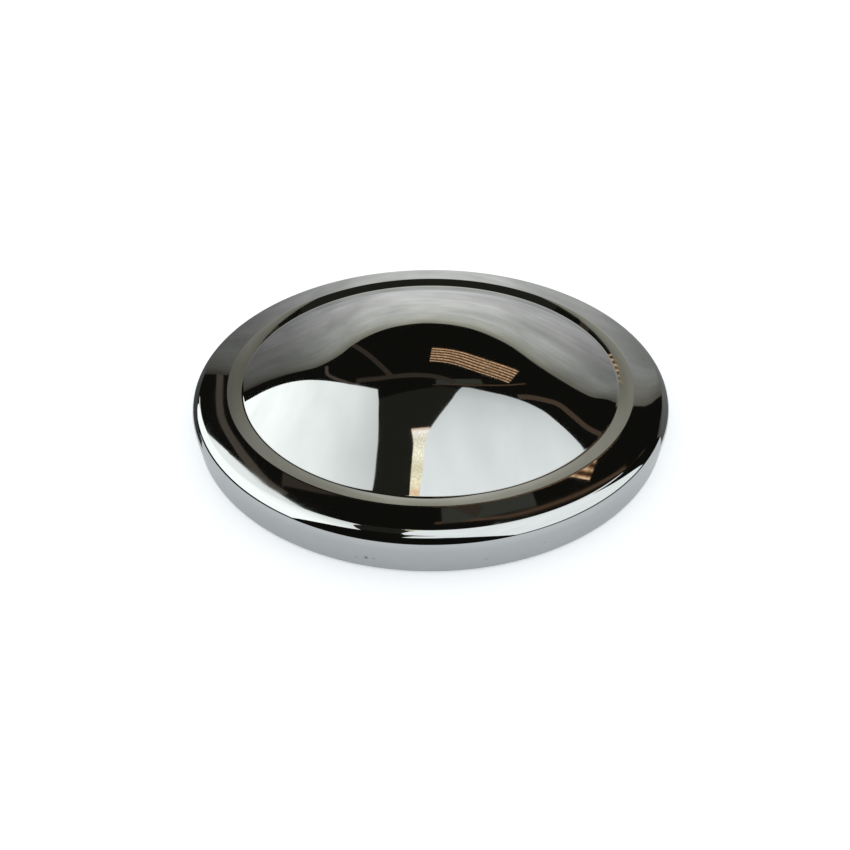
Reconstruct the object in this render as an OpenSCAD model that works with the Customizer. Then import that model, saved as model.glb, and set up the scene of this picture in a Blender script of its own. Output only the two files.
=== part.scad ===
// Push-on wheel cover, pressed from one sheet of chromed steel.
// A shallow dome sits in a flat rim ring. Outside the ring the sheet turns over a tight
// brow into a round shoulder, which runs down into a short skirt. The skirt's edge is
// turned in and up to a lip that grips the wheel.
// The part stands on its hem with the dome up, and its axis is Z. Lengths are in mm.

/* [Overall] */
// Outside diameter across the shoulder, the widest place
cap_d = 254; // [230:1:300]
// Thickness of the sheet
sheet = 0.9; // [0.6:0.1:1.4]

/* [Skirt] */
// Height of the centre of the shoulder's curve above the lower edge
skirt_h = 14; // [10:0.2:18]
// Angle by which the skirt draws in towards its lower edge
skirt_lean = 0.5; // [0:0.5:8]
// Outside radius of the shoulder above the skirt
shoulder_r = 7.2; // [5:0.1:10]
// Angle above level in which the shoulder looks where the brow begins
shoulder_top = 66; // [50:1:80]
// Outside radius of the brow, the tight bend between the shoulder and the rim ring
brow_r = 1.8; // [1.6:0.1:3]

/* [Hem] */
// Outside radius of the bend at the foot of the skirt
hem_r = 2.4; // [2:0.1:3.5]
// Outside radius of the bend that turns the hem up into the lip
lip_bend_r = 2; // [1.8:0.1:3]
// Distance from the widest place in to the lip's inner wall, which grips the wheel
lip_in = 11; // [10:0.1:16]
// Height of the top of the lip above the lower edge
lip_h = 6.5; // [5:0.1:8]

/* [Rim ring] */
// Angle by which the ring falls towards the middle
ring_fall = 2.6; // [-4:0.2:5]
// Distance from the widest place in to the ridge, where ring and wall would meet without their bend
ring_w = 17.9; // [15:0.1:24]
// Outside radius of the ridge's bend
ridge_r = 3; // [1.6:0.1:5]

/* [Dome] */
// Distance from the ridge in to the foot, where wall and dome would meet without their bend
wall_w = 7.6; // [6:0.1:14]
// Angle at which the wall falls from the ridge to the foot
wall_fall = 14.5; // [8:0.5:30]
// Radius of the hollow bend at the dome's foot, on the outside
foot_r = 2.5; // [0.6:0.1:4]
// Height of the dome above its foot
dome_h = 13.8; // [8:0.2:22]

/* [Hidden] */
$fn = 144;
// Angle between two points along a tight bend, and along the dome
bend_step = 5;
dome_step = 0.8;

// Radii of the lip's inner wall, the ridge and the dome's foot
lip_in_r = cap_d/2 - lip_in;
ridge_at = cap_d/2 - ring_w;
foot_at = ridge_at - wall_w;

// Shoulder: its curve starts square to the leaning skirt, and the brow takes over from it
// without a kink and ends square to the ring
shoulder_c = [cap_d/2 - shoulder_r, skirt_h];
shoulder_a0 = -skirt_lean;
brow_c = shoulder_c + (shoulder_r - brow_r)*dir(shoulder_top);
brow_a1 = 90 + ring_fall;

// Hem: its bend touches the skirt and the plane that the part stands on
skirt_out = dir(shoulder_a0);
skirt_reach = shoulder_c*skirt_out + shoulder_r;
hem_c = [(skirt_reach - hem_r - hem_r*skirt_out[1])/skirt_out[0], hem_r];

// Lip: its bend touches the same plane and the upright inner wall
lip_c = [lip_in_r + lip_bend_r, lip_bend_r];

// Ridge: the corner of ring and wall lies on the ring's slope
ring_top = brow_c + brow_r*dir(brow_a1);
ridge_corner = [ridge_at, ring_top[1] - (ring_top[0] - ridge_at)*tan(ring_fall)];
ridge_a1 = 90 + wall_fall;
ridge_c = ridge_corner - ridge_r/cos((ridge_a1 - brow_a1)/2)*dir((brow_a1 + ridge_a1)/2);

// Dome: a sphere through the foot and the top
foot_corner = [foot_at, ridge_corner[1] - wall_w*tan(wall_fall)];
dome_r = (foot_at*foot_at + dome_h*dome_h)/(2*dome_h);
dome_c = [0, foot_corner[1] + dome_h - dome_r];

// Foot: its hollow bend touches the wall's line and the dome's circle
wall_up = dir(ridge_a1);
wall_out = dir(wall_fall);
foot_near = foot_corner + foot_r*wall_up - dome_c;
foot_along = foot_near*wall_out;
foot_slide = -foot_along + sqrt(pow(foot_along, 2) - foot_near*foot_near + pow(dome_r + foot_r, 2));
foot_c = dome_c + foot_near + foot_slide*wall_out;
dome_a = atan2(foot_c[1] - dome_c[1], foot_c[0]);

function dir(a) = [cos(a), sin(a)];

// The outer face along a bend about c with radius r, from angle a0 to angle a1.
// Each entry is a point and the angle in which the face looks there.
// A hollow bend has its centre outside the sheet, so its points lie across from it.
function bend(c, r, a0, a1, step, hollow = false) =
    let (n = max(2, ceil(abs(a1 - a0)/step)))
    [for (i = [0:n]) let (a = a0 + (a1 - a0)*i/n) [hollow ? c - r*dir(a) : c + r*dir(a), a]];

// The outer face from the lip's edge to the top of the dome
face = concat(
    [[[lip_in_r, lip_h], 180]],
    bend(lip_c, lip_bend_r, 180, 270, bend_step),
    bend(hem_c, hem_r, 270, 360 + shoulder_a0, bend_step),
    bend(shoulder_c, shoulder_r, shoulder_a0, shoulder_top, bend_step),
    bend(brow_c, brow_r, shoulder_top, brow_a1, bend_step),
    bend(ridge_c, ridge_r, brow_a1, ridge_a1, bend_step),
    bend(foot_c, foot_r, ridge_a1, dome_a, bend_step, hollow = true),
    bend(dome_c, dome_r, dome_a, 90, dome_step)
);

// Half of the section: along the outer face, and back along the inner one
module section() {
    outer = [for (f = face) f[0]];
    inner = [for (f = face) f[0] - sheet*dir(f[1])];
    polygon(concat(outer, [for (i = [len(inner) - 1:-1:0]) inner[i]]));
}

module cap_shell() {
    color("silver") rotate_extrude() section();
}

cap_shell();
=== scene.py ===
"""A chromed wheel cover on a pale table, under two long lights in a dark room."""
import bpy, math
from mathutils import Matrix, Vector


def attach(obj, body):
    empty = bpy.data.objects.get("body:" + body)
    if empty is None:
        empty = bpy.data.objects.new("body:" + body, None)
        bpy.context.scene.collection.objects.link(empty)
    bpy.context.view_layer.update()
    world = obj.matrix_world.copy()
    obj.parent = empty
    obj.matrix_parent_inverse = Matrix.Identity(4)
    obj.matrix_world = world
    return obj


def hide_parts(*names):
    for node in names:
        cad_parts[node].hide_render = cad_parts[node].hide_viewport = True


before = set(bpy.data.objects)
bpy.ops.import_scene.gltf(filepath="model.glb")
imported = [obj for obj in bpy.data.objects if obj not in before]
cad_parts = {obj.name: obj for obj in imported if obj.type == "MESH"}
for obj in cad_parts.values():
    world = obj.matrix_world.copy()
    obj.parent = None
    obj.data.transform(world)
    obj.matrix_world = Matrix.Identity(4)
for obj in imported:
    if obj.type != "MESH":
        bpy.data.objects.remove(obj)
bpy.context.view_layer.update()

MM = 0.001

# Sizes of the cover, in millimetres and degrees. They are the part's own, but for a steeper wall.
CAP_D = 254.0
SHEET = 0.9
SKIRT_H = 14.0
SKIRT_LEAN = 0.5
SHOULDER_R = 7.2
SHOULDER_TOP = 66.0
BROW_R = 1.8
HEM_R = 2.4
LIP_BEND_R = 2.0
LIP_IN = 11.0
LIP_H = 6.5
RING_FALL = 2.6
RING_W = 17.9
RIDGE_R = 3.0
WALL_W = 7.6
WALL_FALL = 17.0
FOOT_R = 2.5
DOME_H = 13.8

# Radii of the lip's inner wall, the ridge and the dome's foot
LIP_AT = CAP_D / 2 - LIP_IN
RIDGE_AT = CAP_D / 2 - RING_W
FOOT_AT = RIDGE_AT - WALL_W

# How fine the cover's mesh is
TURN_STEPS = 288     # sections round the cover
HEM_STEP = 9         # degrees between two edges along the hem's bends
BEND_STEP = 2        # the same along the bends that are in sight
DOME_STEP = 0.8      # the same along the dome
HOLD = 0.04          # how near a bend's end a flat gets an edge, so that it shades flat
SAME_POINT = 1e-4    # points nearer than this are one
POLE_R = 0.05        # a ring of edges smaller than this is the top of the dome
CREASE = 40          # edges sharper than this many degrees stay hard

# Camera, in millimetres, degrees and pixels
CAM_DIST = 345.0
CAM_TILT = 38.67
CAM_ROLL = -0.5
CAM_AIM = (-2.98, 0.0, -24.66)
CAM_FOCAL_PX = 571.1
IMAGE_PX = 850
SENSOR = 36
CLIP_NEAR = 0.01     # metres
CLIP_FAR = 50

# The two lights overhead, in millimetres. Each is a flat sheet, cut along smooth curves in plan.
LIGHT_H = 900
LEFT_LIGHT = [
    [(-235, 810), (-222, 700), (-216, 617), (-208, 472), (-208, 351), (-216, 179), (-240, 60),
     (-300, -120), (-355, -270), (-410, -480), (-433, -610)],
    [(-791, -756), (-1600, -1253), (-6013, -4025)],
    [(-5600, 3400), (-3448, 2600), (-1250, 1215)],
    [(-1144, 1235), (-1007, 1252), (-871, 1232), (-732, 1174), (-592, 1083), (-388, 922), (-262, 828)]]
RIGHT_LIGHT = [
    [(159, 803), (128, 740), (91, 648), (31, 517), (0, 445), (-16, 367), (-24, 281), (-28, 216),
     (-40, 128), (-70, -120), (-110, -330), (-155, -481)],
    [(-162, -640), (60, -711)], [(-120, -790), (-258, -1106)],
    [(127, -1050), (545, -1451), (1821, -3251), (5983, -9192)],
    [(8313, 916), (2512, 195), (1206, 56), (760, 45)], [(700, 200), (722, 400), (708, 503)],
    [(700, 520), (647, 590), (589, 655), (540, 705), (457, 746), (375, 768), (266, 788), (190, 803)]]
# Each fades along one way, from one distance to the other, through shares of full brightness
LEFT_FADE = ((-1, 0, 0), 200, 1100, [(0.0, 0.46), (0.12, 0.56), (0.35, 0.68), (0.7, 0.78), (1.0, 0.82)])
RIGHT_FADE = ((0, -1, 0), -810, 60, [(0.0, 0.33), (0.15, 0.45), (0.4, 0.55), (0.8, 0.62), (1.0, 0.62)])
FULL_LIGHT = 2.0
LEFT_TINT = (0.96, 1.0, 0.97)
RIGHT_TINT = (0.95, 1.0, 0.985)

# The ceiling above the lights, and what hangs just below or above them, in plan
CEILING_H = 1000
CEILING = [(-800, 600), (-100, 850), (60, 900), (500, 800), (500, -600), (-800, -600)]
CEILING_TONE = (0.0190, 0.0190, 0.0145)
FRAME_H = LIGHT_H - 4
LEFT_FRAME = [(-590, 1290), (-580, 1266), (-547, 1132), (-480, 1031), (-440, 984), (-392, 932), (-335, 890)]
LEFT_FRAME_HALVES = [9, 10, 10, 11, 11, 10, 8]
LEFT_FRAME_TONE = (0.085, 0.072, 0.056)
RIGHT_RIM = [(20, 812), (80, 819), (150, 824), (228, 834), (374, 880), (497, 952)]
RIGHT_RIM_HALVES = [3, 4, 5, 6, 6, 5]
RIGHT_RIM_TONE = (0.10, 0.062, 0.038)
PANEL_H = LIGHT_H - 6
PANEL = [(36, 868), (258, 905), (264, 852), (37, 808)]
PANEL_TONE = (0.048, 0.050, 0.040)
WINDOW_H = LIGHT_H + 4
WINDOW = [(-34, 470), (-28, 384), (-38, 301), (-46, 230), (-51, 120)]
WINDOW_HALVES = [39, 36, 30, 26, 27]

# The pale sweep, which stands close behind the cover: bearing, height of its top edge and brightness. Its
# brightness is painted light, strongest behind the cover and near dark at the sides, as a lit backdrop
# looks in the chrome.
SWEEP_R = 150
SWEEP = [
    (-110, 16, 0.05), (-90, 34, 0.08), (-72, 60, 0.13), (-60, 80, 0.18), (-48, 101, 0.28), (-38, 103, 0.40),
    (-30, 94, 0.52), (-20, 85, 0.68), (-10, 80, 0.78), (1, 79, 0.82), (16, 83, 0.76), (31, 93, 0.66),
    (45, 104, 0.52), (59, 101, 0.38), (72, 86, 0.29), (82, 60, 0.22), (110, 30, 0.12)]
SWEEP_TINTS = [(0.0, (0.86, 0.87, 0.91)), (0.35, (1.0, 1.0, 0.98)), (0.74, (0.98, 1.0, 0.94)),
               (0.90, (0.76, 0.76, 0.66)), (1.0, (0.44, 0.42, 0.33))]

# Bands far off in the room, along lines of bearing and rise in degrees, with their widths in degrees
FAR = 1200
EYE_H = 21.4         # height above the table from which bearings and rises are taken
BEAM = [(-18.4, 23), (-17.6, 25), (-15.7, 30), (-13.3, 36.8), (-10.6, 43.2)]
BEAM_WIDTH = 1.2
ARCH = [(-21, 41.0), (-15.3, 42.4), (-10, 42.9), (0.7, 43.7), (8.5, 45.6)]
ARCH_WIDTH = 1.5
FAR_BEAM_TONE = (0.045, 0.036, 0.027)
RIGHT_BEAM = [(29, 44.6), (31.8, 43.0), (35.5, 41.4), (39.4, 40.0), (44.7, 40.2), (50.3, 40.0), (55, 37.5)]
RIGHT_BEAM_WIDTH = 1.6
RIGHT_BEAM_FAR = FAR - 20
RIGHT_BEAM_TONE = (0.085, 0.060, 0.042)
BLINDS = [(0.9, 35.4), (6.9, 36.0), (14.9, 37.8), (24.2, 38.4)]
BLINDS_WIDTH = 5.6
BLINDS_TONES = [(0.15, (0.05, 0.03, 0.02)), (0.5, (0.34, 0.15, 0.06)), (0.8, (0.60, 0.34, 0.15)),
                (1.0, (0.90, 0.66, 0.42))]
WINDOW_TONES = [(0.0, (0.8, 0.5, 0.3)), (0.06, (1.6, 1.5, 1.35)), (0.2, (1.25, 1.18, 0.92)),
                (0.45, (1.6, 1.52, 1.2)), (0.7, (1.2, 1.1, 0.75)), (0.9, (1.5, 1.4, 1.0)),
                (1.0, (1.2, 0.75, 0.45))]

# The room and the table
ROOM_R = 14.0        # metres
ROOM_TONE = (0.0067, 0.0065, 0.0052)
DAYLIGHT = 0.9       # strength of the white world
TABLE_TONE = (0.79, 0.83, 0.85)
TABLE_LIFT = {"Is Camera Ray": 0.38, "Is Transmission Ray": 0.38, "Is Glossy Ray": 0.02}

# The chrome: its two tones, its least and greatest roughness, and the height of its waves in metres
CHROME_DULL = (0.585, 0.597, 0.60)
CHROME_BRIGHT = (0.615, 0.622, 0.627)
POLISH = (0.018, 0.04)
WAVE_STRENGTH = 0.25
WAVE_H = 0.00012
# The specks on the skirt: place and radius in millimetres, and colour
SPECKS = [
    (-27.0, -124.0, 7.0, 1.0, (0.16, 0.27, 0.15)), (-24.0, -124.6, 7.2, 0.6, (0.30, 0.36, 0.30)),
    (-31.0, -123.1, 6.2, 0.7, (0.42, 0.45, 0.42)), (21.0, -125.2, 7.0, 0.8, (0.47, 0.47, 0.49)),
    (45.0, -118.7, 9.0, 0.7, (0.46, 0.47, 0.49))]
SPECK_CORE = 0.4     # share of a speck's radius that has its full colour


def cos(deg):
    return math.cos(math.radians(deg))


def sin(deg):
    return math.sin(math.radians(deg))


def tan(deg):
    return math.tan(math.radians(deg))


def aim(deg):
    return Vector((cos(deg), sin(deg)))


def bend(centre, radius, start, end, step, hollow=False):
    """Points along a bend, from one angle to the other. A hollow bend lies across from its centre."""
    n = max(2, math.ceil(abs(end - start) / step))
    reach = -radius if hollow else radius
    return [centre + aim(start + (end - start) * i / n) * reach for i in range(n + 1)]


def outer_face():
    """The outer face's section from the lip's edge to the top of the dome, as (radius, height)."""
    skirt_way = -SKIRT_LEAN
    ring_way = 90 + RING_FALL
    wall_way = 90 + WALL_FALL
    skirt_out = aim(skirt_way)
    shoulder_c = Vector((CAP_D / 2 - SHOULDER_R, SKIRT_H))
    skirt_reach = shoulder_c.dot(skirt_out) + SHOULDER_R
    hem_c = Vector(((skirt_reach - HEM_R - HEM_R * skirt_out.y) / skirt_out.x, HEM_R))
    lip_c = Vector((LIP_AT + LIP_BEND_R, LIP_BEND_R))
    brow_c = shoulder_c + aim(SHOULDER_TOP) * (SHOULDER_R - BROW_R)
    ring_top = brow_c + aim(ring_way) * BROW_R
    ridge = Vector((RIDGE_AT, ring_top.y - (ring_top.x - RIDGE_AT) * tan(RING_FALL)))
    ridge_c = ridge - aim((ring_way + wall_way) / 2) * (RIDGE_R / cos((wall_way - ring_way) / 2))

    # The dome is a sphere through foot and top, and the foot's bend touches it and the wall
    foot = Vector((FOOT_AT, ridge.y - WALL_W * tan(WALL_FALL)))
    dome_r = (FOOT_AT ** 2 + DOME_H ** 2) / (2 * DOME_H)
    dome_c = Vector((0, foot.y + DOME_H - dome_r))
    near = foot + aim(wall_way) * FOOT_R - dome_c
    along = near.dot(aim(WALL_FALL))
    slide = -along + math.sqrt(along ** 2 - near.dot(near) + (dome_r + FOOT_R) ** 2)
    foot_c = dome_c + near + aim(WALL_FALL) * slide
    dome_way = math.degrees(math.atan2(foot_c.y - dome_c.y, foot_c.x))

    shoulder = bend(shoulder_c, SHOULDER_R, skirt_way, SHOULDER_TOP, BEND_STEP)
    brow = bend(brow_c, BROW_R, SHOULDER_TOP, ring_way, BEND_STEP)
    bends = [bend(lip_c, LIP_BEND_R, 180, 270, HEM_STEP),
             bend(hem_c, HEM_R, 270, 360 + skirt_way, HEM_STEP),
             shoulder + brow[1:],
             bend(ridge_c, RIDGE_R, ring_way, wall_way, BEND_STEP),
             bend(foot_c, FOOT_R, wall_way, dome_way, BEND_STEP, hollow=True)]
    path = [Vector((LIP_AT, LIP_H))]
    for points in bends:
        flat = points[0] - path[-1]
        if flat.length > 4 * HOLD:
            path += [path[-1] + flat.normalized() * HOLD, points[0] - flat.normalized() * HOLD]
        path += points
    held = math.degrees(HOLD / dome_r)
    path.append(dome_c + aim(dome_way + held) * dome_r)
    return path + bend(dome_c, dome_r, dome_way + 2 * held, 90, DOME_STEP)


def start_clean():
    """Leaves edit mode and deselects everything."""
    if bpy.context.object and bpy.context.object.mode != "OBJECT":
        bpy.ops.object.mode_set(mode="OBJECT")
    bpy.ops.object.select_all(action="DESELECT")


def named(name):
    obj = bpy.context.object
    obj.name = obj.data.name = name
    return obj


def turn_skin():
    """The cover's outer skin: a ring of edges, drawn through the section and resized on its way."""
    start_clean()
    path = outer_face()
    bpy.ops.mesh.primitive_circle_add(vertices=TURN_STEPS, radius=path[0].x * MM, fill_type="NOTHING",
                                      location=(0, 0, path[0].y * MM))
    cap = named("wheel_cover")
    bpy.ops.object.transform_apply(location=True)
    bpy.ops.object.mode_set(mode="EDIT")
    bpy.ops.mesh.select_all(action="SELECT")
    at = path[0]
    for to in path[1:]:
        if (to - at).length < SAME_POINT:
            continue
        bpy.ops.mesh.extrude_edges_move(TRANSFORM_OT_translate={"value": (0, 0, (to.y - at.y) * MM)})
        if to.x < POLE_R:
            bpy.ops.mesh.merge(type="CENTER")
        else:
            scale = to.x / at.x
            bpy.ops.transform.resize(value=(scale, scale, 1), center_override=(0, 0, 0))
        at = to
    bpy.ops.mesh.select_all(action="SELECT")
    bpy.ops.mesh.remove_doubles(threshold=1e-6)
    bpy.ops.mesh.normals_make_consistent(inside=False)
    bpy.ops.object.mode_set(mode="OBJECT")
    return cap


def face_outwards(cap):
    """Turns the skin's faces to the outside, going by the top of the dome."""
    top = max(cap.data.polygons, key=lambda face: face.center.z)
    if top.normal.z < 0:
        bpy.ops.object.mode_set(mode="EDIT")
        bpy.ops.mesh.select_all(action="SELECT")
        bpy.ops.mesh.flip_normals()
        bpy.ops.object.mode_set(mode="OBJECT")


def thicken(cap):
    """Gives the skin the sheet's thickness, inwards."""
    sheet = cap.modifiers.new("sheet", "SOLIDIFY")
    sheet.thickness = SHEET * MM
    sheet.offset = -1
    sheet.use_even_offset = True
    bpy.ops.object.modifier_apply(modifier="sheet")
    bpy.ops.object.shade_smooth_by_angle(angle=math.radians(CREASE))


def blank_material(name):
    """A material with nothing but its output, its node tree, and the socket for its surface."""
    mat = bpy.data.materials.new(name)
    mat.use_nodes = True
    tree = mat.node_tree
    tree.nodes.clear()
    out = tree.nodes.new("ShaderNodeOutputMaterial")
    return mat, tree, out.inputs["Surface"]


def glowing(name):
    """A material that only glows, with its tree and its glow node."""
    mat, tree, surface = blank_material(name)
    glow = tree.nodes.new("ShaderNodeEmission")
    tree.links.new(glow.outputs[0], surface)
    return mat, tree, glow


def even_glow(name, colour):
    mat, _, glow = glowing(name)
    glow.inputs["Color"].default_value = (*colour, 1)
    return mat


def ramp(tree, along, stops):
    """Runs through the stops, each a position and a colour or a grey."""
    node = tree.nodes.new("ShaderNodeValToRGB")
    elements = node.color_ramp.elements
    while len(elements) < len(stops):
        elements.new(0.5)
    for stop, (at, colour) in zip(elements, stops):
        stop.position = at
        stop.color = (*colour, 1) if isinstance(colour, tuple) else (colour, colour, colour, 1)
    tree.links.new(along, node.inputs["Fac"])
    return node.outputs["Color"]


def product(tree, first, second):
    """One socket times another, or times a number."""
    times = tree.nodes.new("ShaderNodeMath")
    times.operation = "MULTIPLY"
    tree.links.new(first, times.inputs[0])
    if isinstance(second, float):
        times.inputs[1].default_value = second
    else:
        tree.links.new(second, times.inputs[1])
    return times.outputs[0]


def uneven(tree, where, scale, low, high, stretch=(1, 1, 1), detail=2.0):
    """Cloudy noise between low and high."""
    squeeze = tree.nodes.new("ShaderNodeMapping")
    squeeze.inputs["Scale"].default_value = stretch
    noise = tree.nodes.new("ShaderNodeTexNoise")
    noise.inputs["Scale"].default_value = scale
    noise.inputs["Detail"].default_value = detail
    spread = tree.nodes.new("ShaderNodeMapRange")
    spread.inputs["From Min"].default_value = 0.3
    spread.inputs["From Max"].default_value = 0.7
    spread.inputs["To Min"].default_value = low
    spread.inputs["To Max"].default_value = high
    tree.links.new(where, squeeze.inputs["Vector"])
    tree.links.new(squeeze.outputs["Vector"], noise.inputs["Vector"])
    tree.links.new(noise.outputs["Fac"], spread.inputs["Value"])
    return spread.outputs["Result"]


def coordinates(tree, kind):
    return tree.nodes.new("ShaderNodeTexCoord").outputs[kind]


def split(tree, vector):
    node = tree.nodes.new("ShaderNodeSeparateXYZ")
    tree.links.new(vector, node.inputs[0])
    return node.outputs


def blend(tree, amount, first, second):
    """From the first colour to the second. The first is a colour or a socket."""
    mix = tree.nodes.new("ShaderNodeMix")
    mix.data_type = "RGBA"
    mix.inputs["B"].default_value = (*second, 1)
    if isinstance(first, tuple):
        mix.inputs["A"].default_value = (*first, 1)
    else:
        tree.links.new(first, mix.inputs["A"])
    tree.links.new(amount, mix.inputs["Factor"])
    return mix.outputs["Result"]


def near_speck(tree, where, place, radius):
    """1 in the middle of a speck, 0 outside it."""
    gap = tree.nodes.new("ShaderNodeVectorMath")
    gap.operation = "DISTANCE"
    gap.inputs[1].default_value = place
    fade = tree.nodes.new("ShaderNodeMapRange")
    fade.inputs["From Min"].default_value = radius
    fade.inputs["From Max"].default_value = SPECK_CORE * radius
    tree.links.new(where, gap.inputs[0])
    tree.links.new(gap.outputs["Value"], fade.inputs["Value"])
    return fade.outputs["Result"]


def chrome_material():
    """Polished plate with a faint film of dust, a few specks on the skirt and a very slight waviness."""
    mat, tree, surface = blank_material("polished_chrome")
    bsdf = tree.nodes.new("ShaderNodeBsdfPrincipled")
    bsdf.inputs["Metallic"].default_value = 1
    where = coordinates(tree, "Object")
    colour = blend(tree, uneven(tree, where, 22.0, 0.0, 1.0, detail=5), CHROME_DULL, CHROME_BRIGHT)
    for x, y, z, radius, tint in SPECKS:
        colour = blend(tree, near_speck(tree, where, (x * MM, y * MM, z * MM), radius * MM), colour, tint)
    waves = tree.nodes.new("ShaderNodeBump")
    waves.inputs["Strength"].default_value = WAVE_STRENGTH
    waves.inputs["Distance"].default_value = WAVE_H
    tree.links.new(uneven(tree, where, 28.0, 0.0, 1.0, detail=0), waves.inputs["Height"])
    tree.links.new(colour, bsdf.inputs["Base Color"])
    tree.links.new(uneven(tree, where, 60.0, *POLISH, detail=6), bsdf.inputs["Roughness"])
    tree.links.new(waves.outputs["Normal"], bsdf.inputs["Normal"])
    tree.links.new(bsdf.outputs[0], surface)
    return mat


def light_material(name, fade, tint):
    """A soft light that is brighter or dimmer along one way, with faint folds of cloth."""
    way, near, far, shares = fade
    mat, tree, glow = glowing(name)
    glow.inputs["Color"].default_value = (*tint, 1)
    where = coordinates(tree, "Object")
    along = tree.nodes.new("ShaderNodeVectorMath")
    along.operation = "DOT_PRODUCT"
    along.inputs[1].default_value = way
    span = tree.nodes.new("ShaderNodeMapRange")
    span.inputs["From Min"].default_value = near * MM
    span.inputs["From Max"].default_value = far * MM
    tree.links.new(where, along.inputs[0])
    tree.links.new(along.outputs["Value"], span.inputs["Value"])
    share = ramp(tree, span.outputs["Result"], shares)
    folds = uneven(tree, where, 4.0, 0.94, 1.05, stretch=(1.6, 0.5, 1))
    tree.links.new(product(tree, product(tree, share, folds), FULL_LIGHT), glow.inputs["Strength"])
    return mat


def sweep_material():
    """A pale sweep, brightest behind the cover, streaked, and dull yellow along its top edge. Its glow is
    painted light, as a lit backdrop looks in the chrome.
    """
    mat, tree, glow = glowing("pale_sweep")
    where = coordinates(tree, "UV")
    round_cover, up, _ = split(tree, where)
    last = len(SWEEP) - 1
    bright = ramp(tree, round_cover, [(i / last, brightness) for i, (_, _, brightness) in enumerate(SWEEP)])
    mottle = uneven(tree, where, 5.0, 0.80, 1.12, stretch=(2.2, 1.0, 1), detail=4)
    streaks = uneven(tree, where, 9.0, 0.90, 1.06, stretch=(0.5, 3.0, 1), detail=3)
    tree.links.new(ramp(tree, up, SWEEP_TINTS), glow.inputs["Color"])
    tree.links.new(product(tree, bright, product(tree, mottle, streaks)), glow.inputs["Strength"])
    return mat


def blinds_material():
    """Orange light through slatted blinds."""
    mat, tree, glow = glowing("blinds")
    where = coordinates(tree, "UV")
    slats = tree.nodes.new("ShaderNodeTexWave")
    slats.bands_direction = "Y"
    slats.inputs["Scale"].default_value = 1.75
    slats.inputs["Distortion"].default_value = 0.6
    slats.inputs["Detail"].default_value = 2
    tree.links.new(where, slats.inputs["Vector"])
    tree.links.new(ramp(tree, slats.outputs["Fac"], BLINDS_TONES), glow.inputs["Color"])
    tree.links.new(uneven(tree, where, 14.0, 0.45, 1.5, stretch=(3.0, 0.6, 1)), glow.inputs["Strength"])
    return mat


def window_material():
    """A tall window: uneven panes, warmer at both ends."""
    mat, tree, glow = glowing("tall_window")
    where = coordinates(tree, "UV")
    along, _, _ = split(tree, where)
    panes = uneven(tree, where, 9.0, 0.62, 1.2, stretch=(4.0, 1.2, 1), detail=3)
    tree.links.new(ramp(tree, along, WINDOW_TONES), glow.inputs["Color"])
    tree.links.new(panes, glow.inputs["Strength"])
    return mat


def table_material():
    """A pale table, which the camera sees as white and polished metal a little above its own tone."""
    mat, tree, surface = blank_material("table_top")
    matt = tree.nodes.new("ShaderNodeBsdfDiffuse")
    matt.inputs["Color"].default_value = (*TABLE_TONE, 1)
    glow = tree.nodes.new("ShaderNodeEmission")
    rays = tree.nodes.new("ShaderNodeLightPath")
    total = None
    for ray, lift in TABLE_LIFT.items():
        part = tree.nodes.new("ShaderNodeMath")
        part.operation = "MULTIPLY_ADD"
        part.inputs[1].default_value = lift
        part.inputs[2].default_value = 0
        tree.links.new(rays.outputs[ray], part.inputs[0])
        if total:
            tree.links.new(total, part.inputs[2])
        total = part.outputs[0]
    both = tree.nodes.new("ShaderNodeAddShader")
    tree.links.new(total, glow.inputs["Strength"])
    tree.links.new(matt.outputs[0], both.inputs[0])
    tree.links.new(glow.outputs[0], both.inputs[1])
    tree.links.new(both.outputs[0], surface)
    return mat


def reflect_only(card, mat):
    """Gives a card its material, and lets it be seen in the chrome alone."""
    card.data.materials.append(mat)
    card.visible_camera = False
    card.visible_diffuse = False
    card.visible_shadow = False


def curve_through(points, steps=4):
    """Points along a smooth curve through the given ones."""
    pts = [Vector(p) for p in points]
    pts = [2 * pts[0] - pts[1]] + pts + [2 * pts[-1] - pts[-2]]
    out = []
    for a, b, c, d in zip(pts, pts[1:], pts[2:], pts[3:]):
        square = 2 * a - 5 * b + 4 * c - d
        cube = 3 * b - a - 3 * c + d
        for i in range(steps):
            t = i / steps
            out.append(0.5 * (2 * b + (c - a) * t + square * t ** 2 + cube * t ** 3))
    return [tuple(p) for p in out] + [tuple(pts[-2])]


def flat_card(name, corners, height, mat):
    """A flat card overhead, with its corners in plan."""
    start_clean()
    bpy.ops.mesh.primitive_circle_add(vertices=len(corners), radius=0.1, fill_type="NGON")
    card = named(name)
    for vertex, (x, y) in zip(card.data.vertices, corners):
        vertex.co = Vector((x, y, height)) * MM
    reflect_only(card, mat)


def cut_along(edges):
    """The corners of a card that is cut along smooth curves."""
    return [point for edge in edges for point in curve_through(edge)]


def band(name, pairs, mat):
    """A band of faces between two rows of points."""
    start_clean()
    bpy.ops.mesh.primitive_grid_add(x_subdivisions=len(pairs) - 1, y_subdivisions=1, size=1)
    card = named(name)
    row = sorted(card.data.vertices, key=lambda v: (round(v.co.x, 5), v.co.y))
    for i, (low, high) in enumerate(pairs):
        row[2 * i].co = low
        row[2 * i + 1].co = high
    reflect_only(card, mat)


def sweep_card():
    """The upright sweep, bent round the back of the cover."""
    pairs = []
    for bearing, height in curve_through([(bearing, height) for bearing, height, _ in SWEEP]):
        foot = Vector((sin(bearing), cos(bearing), 0)) * SWEEP_R
        pairs.append((foot * MM, (foot + Vector((0, 0, height))) * MM))
    band("sweep", pairs, sweep_material())


def towards(bearing, rise, dist):
    """The point that far from the cover. Bearings run from straight behind it to the right."""
    way = Vector((sin(bearing) * cos(rise), cos(bearing) * cos(rise), sin(rise)))
    return (way * dist + Vector((0, 0, EYE_H))) * MM


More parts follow.
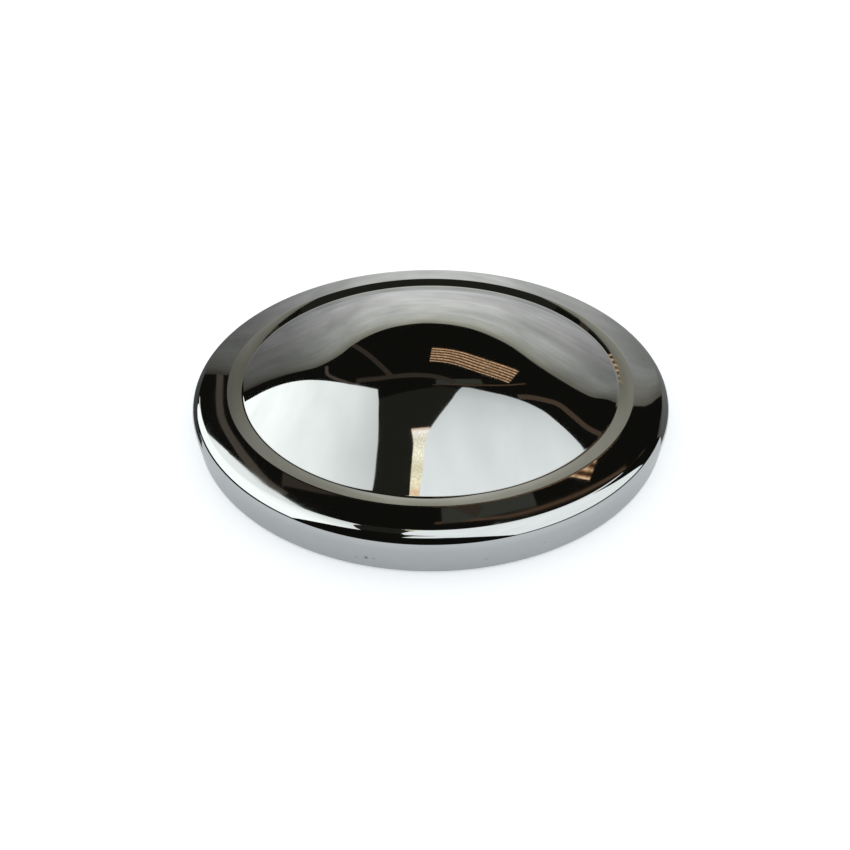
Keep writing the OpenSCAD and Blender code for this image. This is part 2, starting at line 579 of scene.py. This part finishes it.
def far_band(name, line, width, dist, mat):
    """A band as wide as that many degrees, along a line of bearing and rise."""
    pairs = []
    line = curve_through(line)
    for i, (bearing, rise) in enumerate(line):
        bearing_before, rise_before = line[max(i - 1, 0)]
        bearing_after, rise_after = line[min(i + 1, len(line) - 1)]
        shrink = cos(rise)
        dx = (bearing_after - bearing_before) * shrink
        dy = rise_after - rise_before
        length = math.hypot(dx, dy)
        side_x = -dy / length * width / 2
        side_y = dx / length * width / 2
        pairs.append((towards(bearing - side_x / shrink, rise - side_y, dist),
                      towards(bearing + side_x / shrink, rise + side_y, dist)))
    band(name, pairs, mat)


def overhead_band(name, line, halves, height, mat):
    """A band overhead, along a line in plan with half its width at each point."""
    pairs = []
    line = curve_through([(x, y, half) for (x, y), half in zip(line, halves)])
    for i, (x, y, half) in enumerate(line):
        x_before, y_before, _ = line[max(i - 1, 0)]
        x_after, y_after, _ = line[min(i + 1, len(line) - 1)]
        along = Vector((x_after - x_before, y_after - y_before, 0)).normalized()
        side = Vector((-along.y, along.x, 0)) * half
        middle = Vector((x, y, height))
        pairs.append(((middle - side) * MM, (middle + side) * MM))
    band(name, pairs, mat)


def make_cover():
    cap = turn_skin()
    face_outwards(cap)
    thicken(cap)
    cap.data.materials.append(chrome_material())
    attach(cap, "root")
    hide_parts("cap_shell")


def make_table():
    start_clean()
    bpy.ops.mesh.primitive_plane_add(size=2 * ROOM_R)
    table = named("table")
    table.data.materials.append(table_material())


def make_daylight():
    """A white world, which lights the table. The dark room hides it from the chrome."""
    world = bpy.data.worlds.new("studio")
    bpy.context.scene.world = world
    world.use_nodes = True
    background = world.node_tree.nodes["Background"]
    background.inputs["Color"].default_value = (1, 1, 1, 1)
    background.inputs["Strength"].default_value = DAYLIGHT


def make_room():
    start_clean()
    bpy.ops.mesh.primitive_uv_sphere_add(segments=48, ring_count=24, radius=ROOM_R)
    reflect_only(named("room"), even_glow("dark_room", ROOM_TONE))


def hang_lights():
    """The two lights, the ceiling above them, and the bands and panels at their edges."""
    flat_card("left_light", cut_along(LEFT_LIGHT), LIGHT_H,
              light_material("left_softbox", LEFT_FADE, LEFT_TINT))
    flat_card("right_light", cut_along(RIGHT_LIGHT), LIGHT_H,
              light_material("right_softbox", RIGHT_FADE, RIGHT_TINT))
    flat_card("dim_ceiling", CEILING, CEILING_H, even_glow("dim_ceiling", CEILING_TONE))
    overhead_band("left_frame", LEFT_FRAME, LEFT_FRAME_HALVES, FRAME_H,
                  even_glow("left_frame", LEFT_FRAME_TONE))
    overhead_band("right_rim", RIGHT_RIM, RIGHT_RIM_HALVES, FRAME_H,
                  even_glow("right_rim", RIGHT_RIM_TONE))
    flat_card("grey_panel", PANEL, PANEL_H, even_glow("grey_panel", PANEL_TONE))
    overhead_band("tall_window", WINDOW, WINDOW_HALVES, WINDOW_H, window_material())


def place_far_bands():
    """The beams and the blinds at the far side of the room."""
    dull_brown = even_glow("far_beam", FAR_BEAM_TONE)
    far_band("beam", BEAM, BEAM_WIDTH, FAR, dull_brown)
    far_band("arch", ARCH, ARCH_WIDTH, FAR, dull_brown)
    far_band("right_beam", RIGHT_BEAM, RIGHT_BEAM_WIDTH, RIGHT_BEAM_FAR,
             even_glow("side_beam", RIGHT_BEAM_TONE))
    far_band("blinds", BLINDS, BLINDS_WIDTH, FAR, blinds_material())


def place_camera():
    """The camera looks at its aim from the front and above, and is rolled a little."""
    lens = bpy.data.cameras.new("camera")
    lens.sensor_width = SENSOR
    lens.lens = CAM_FOCAL_PX * SENSOR / IMAGE_PX
    lens.clip_start = CLIP_NEAR
    lens.clip_end = CLIP_FAR
    camera = bpy.data.objects.new("camera", lens)
    bpy.context.scene.collection.objects.link(camera)
    bpy.context.scene.camera = camera
    ahead = Vector((0, cos(CAM_TILT), -sin(CAM_TILT)))
    level = Vector((1, 0, 0))
    raised = Vector((0, sin(CAM_TILT), cos(CAM_TILT)))
    right = level * cos(CAM_ROLL) + raised * sin(CAM_ROLL)
    up = raised * cos(CAM_ROLL) - level * sin(CAM_ROLL)
    place = Vector(CAM_AIM) * MM - ahead * CAM_DIST * MM
    camera.matrix_world = Matrix.Translation(place) @ Matrix((right, up, -ahead)).transposed().to_4x4()


make_cover()
make_table()
make_daylight()
make_room()
hang_lights()
sweep_card()
place_far_bands()
place_camera()

bpy.context.scene.view_settings.view_transform = "Standard"
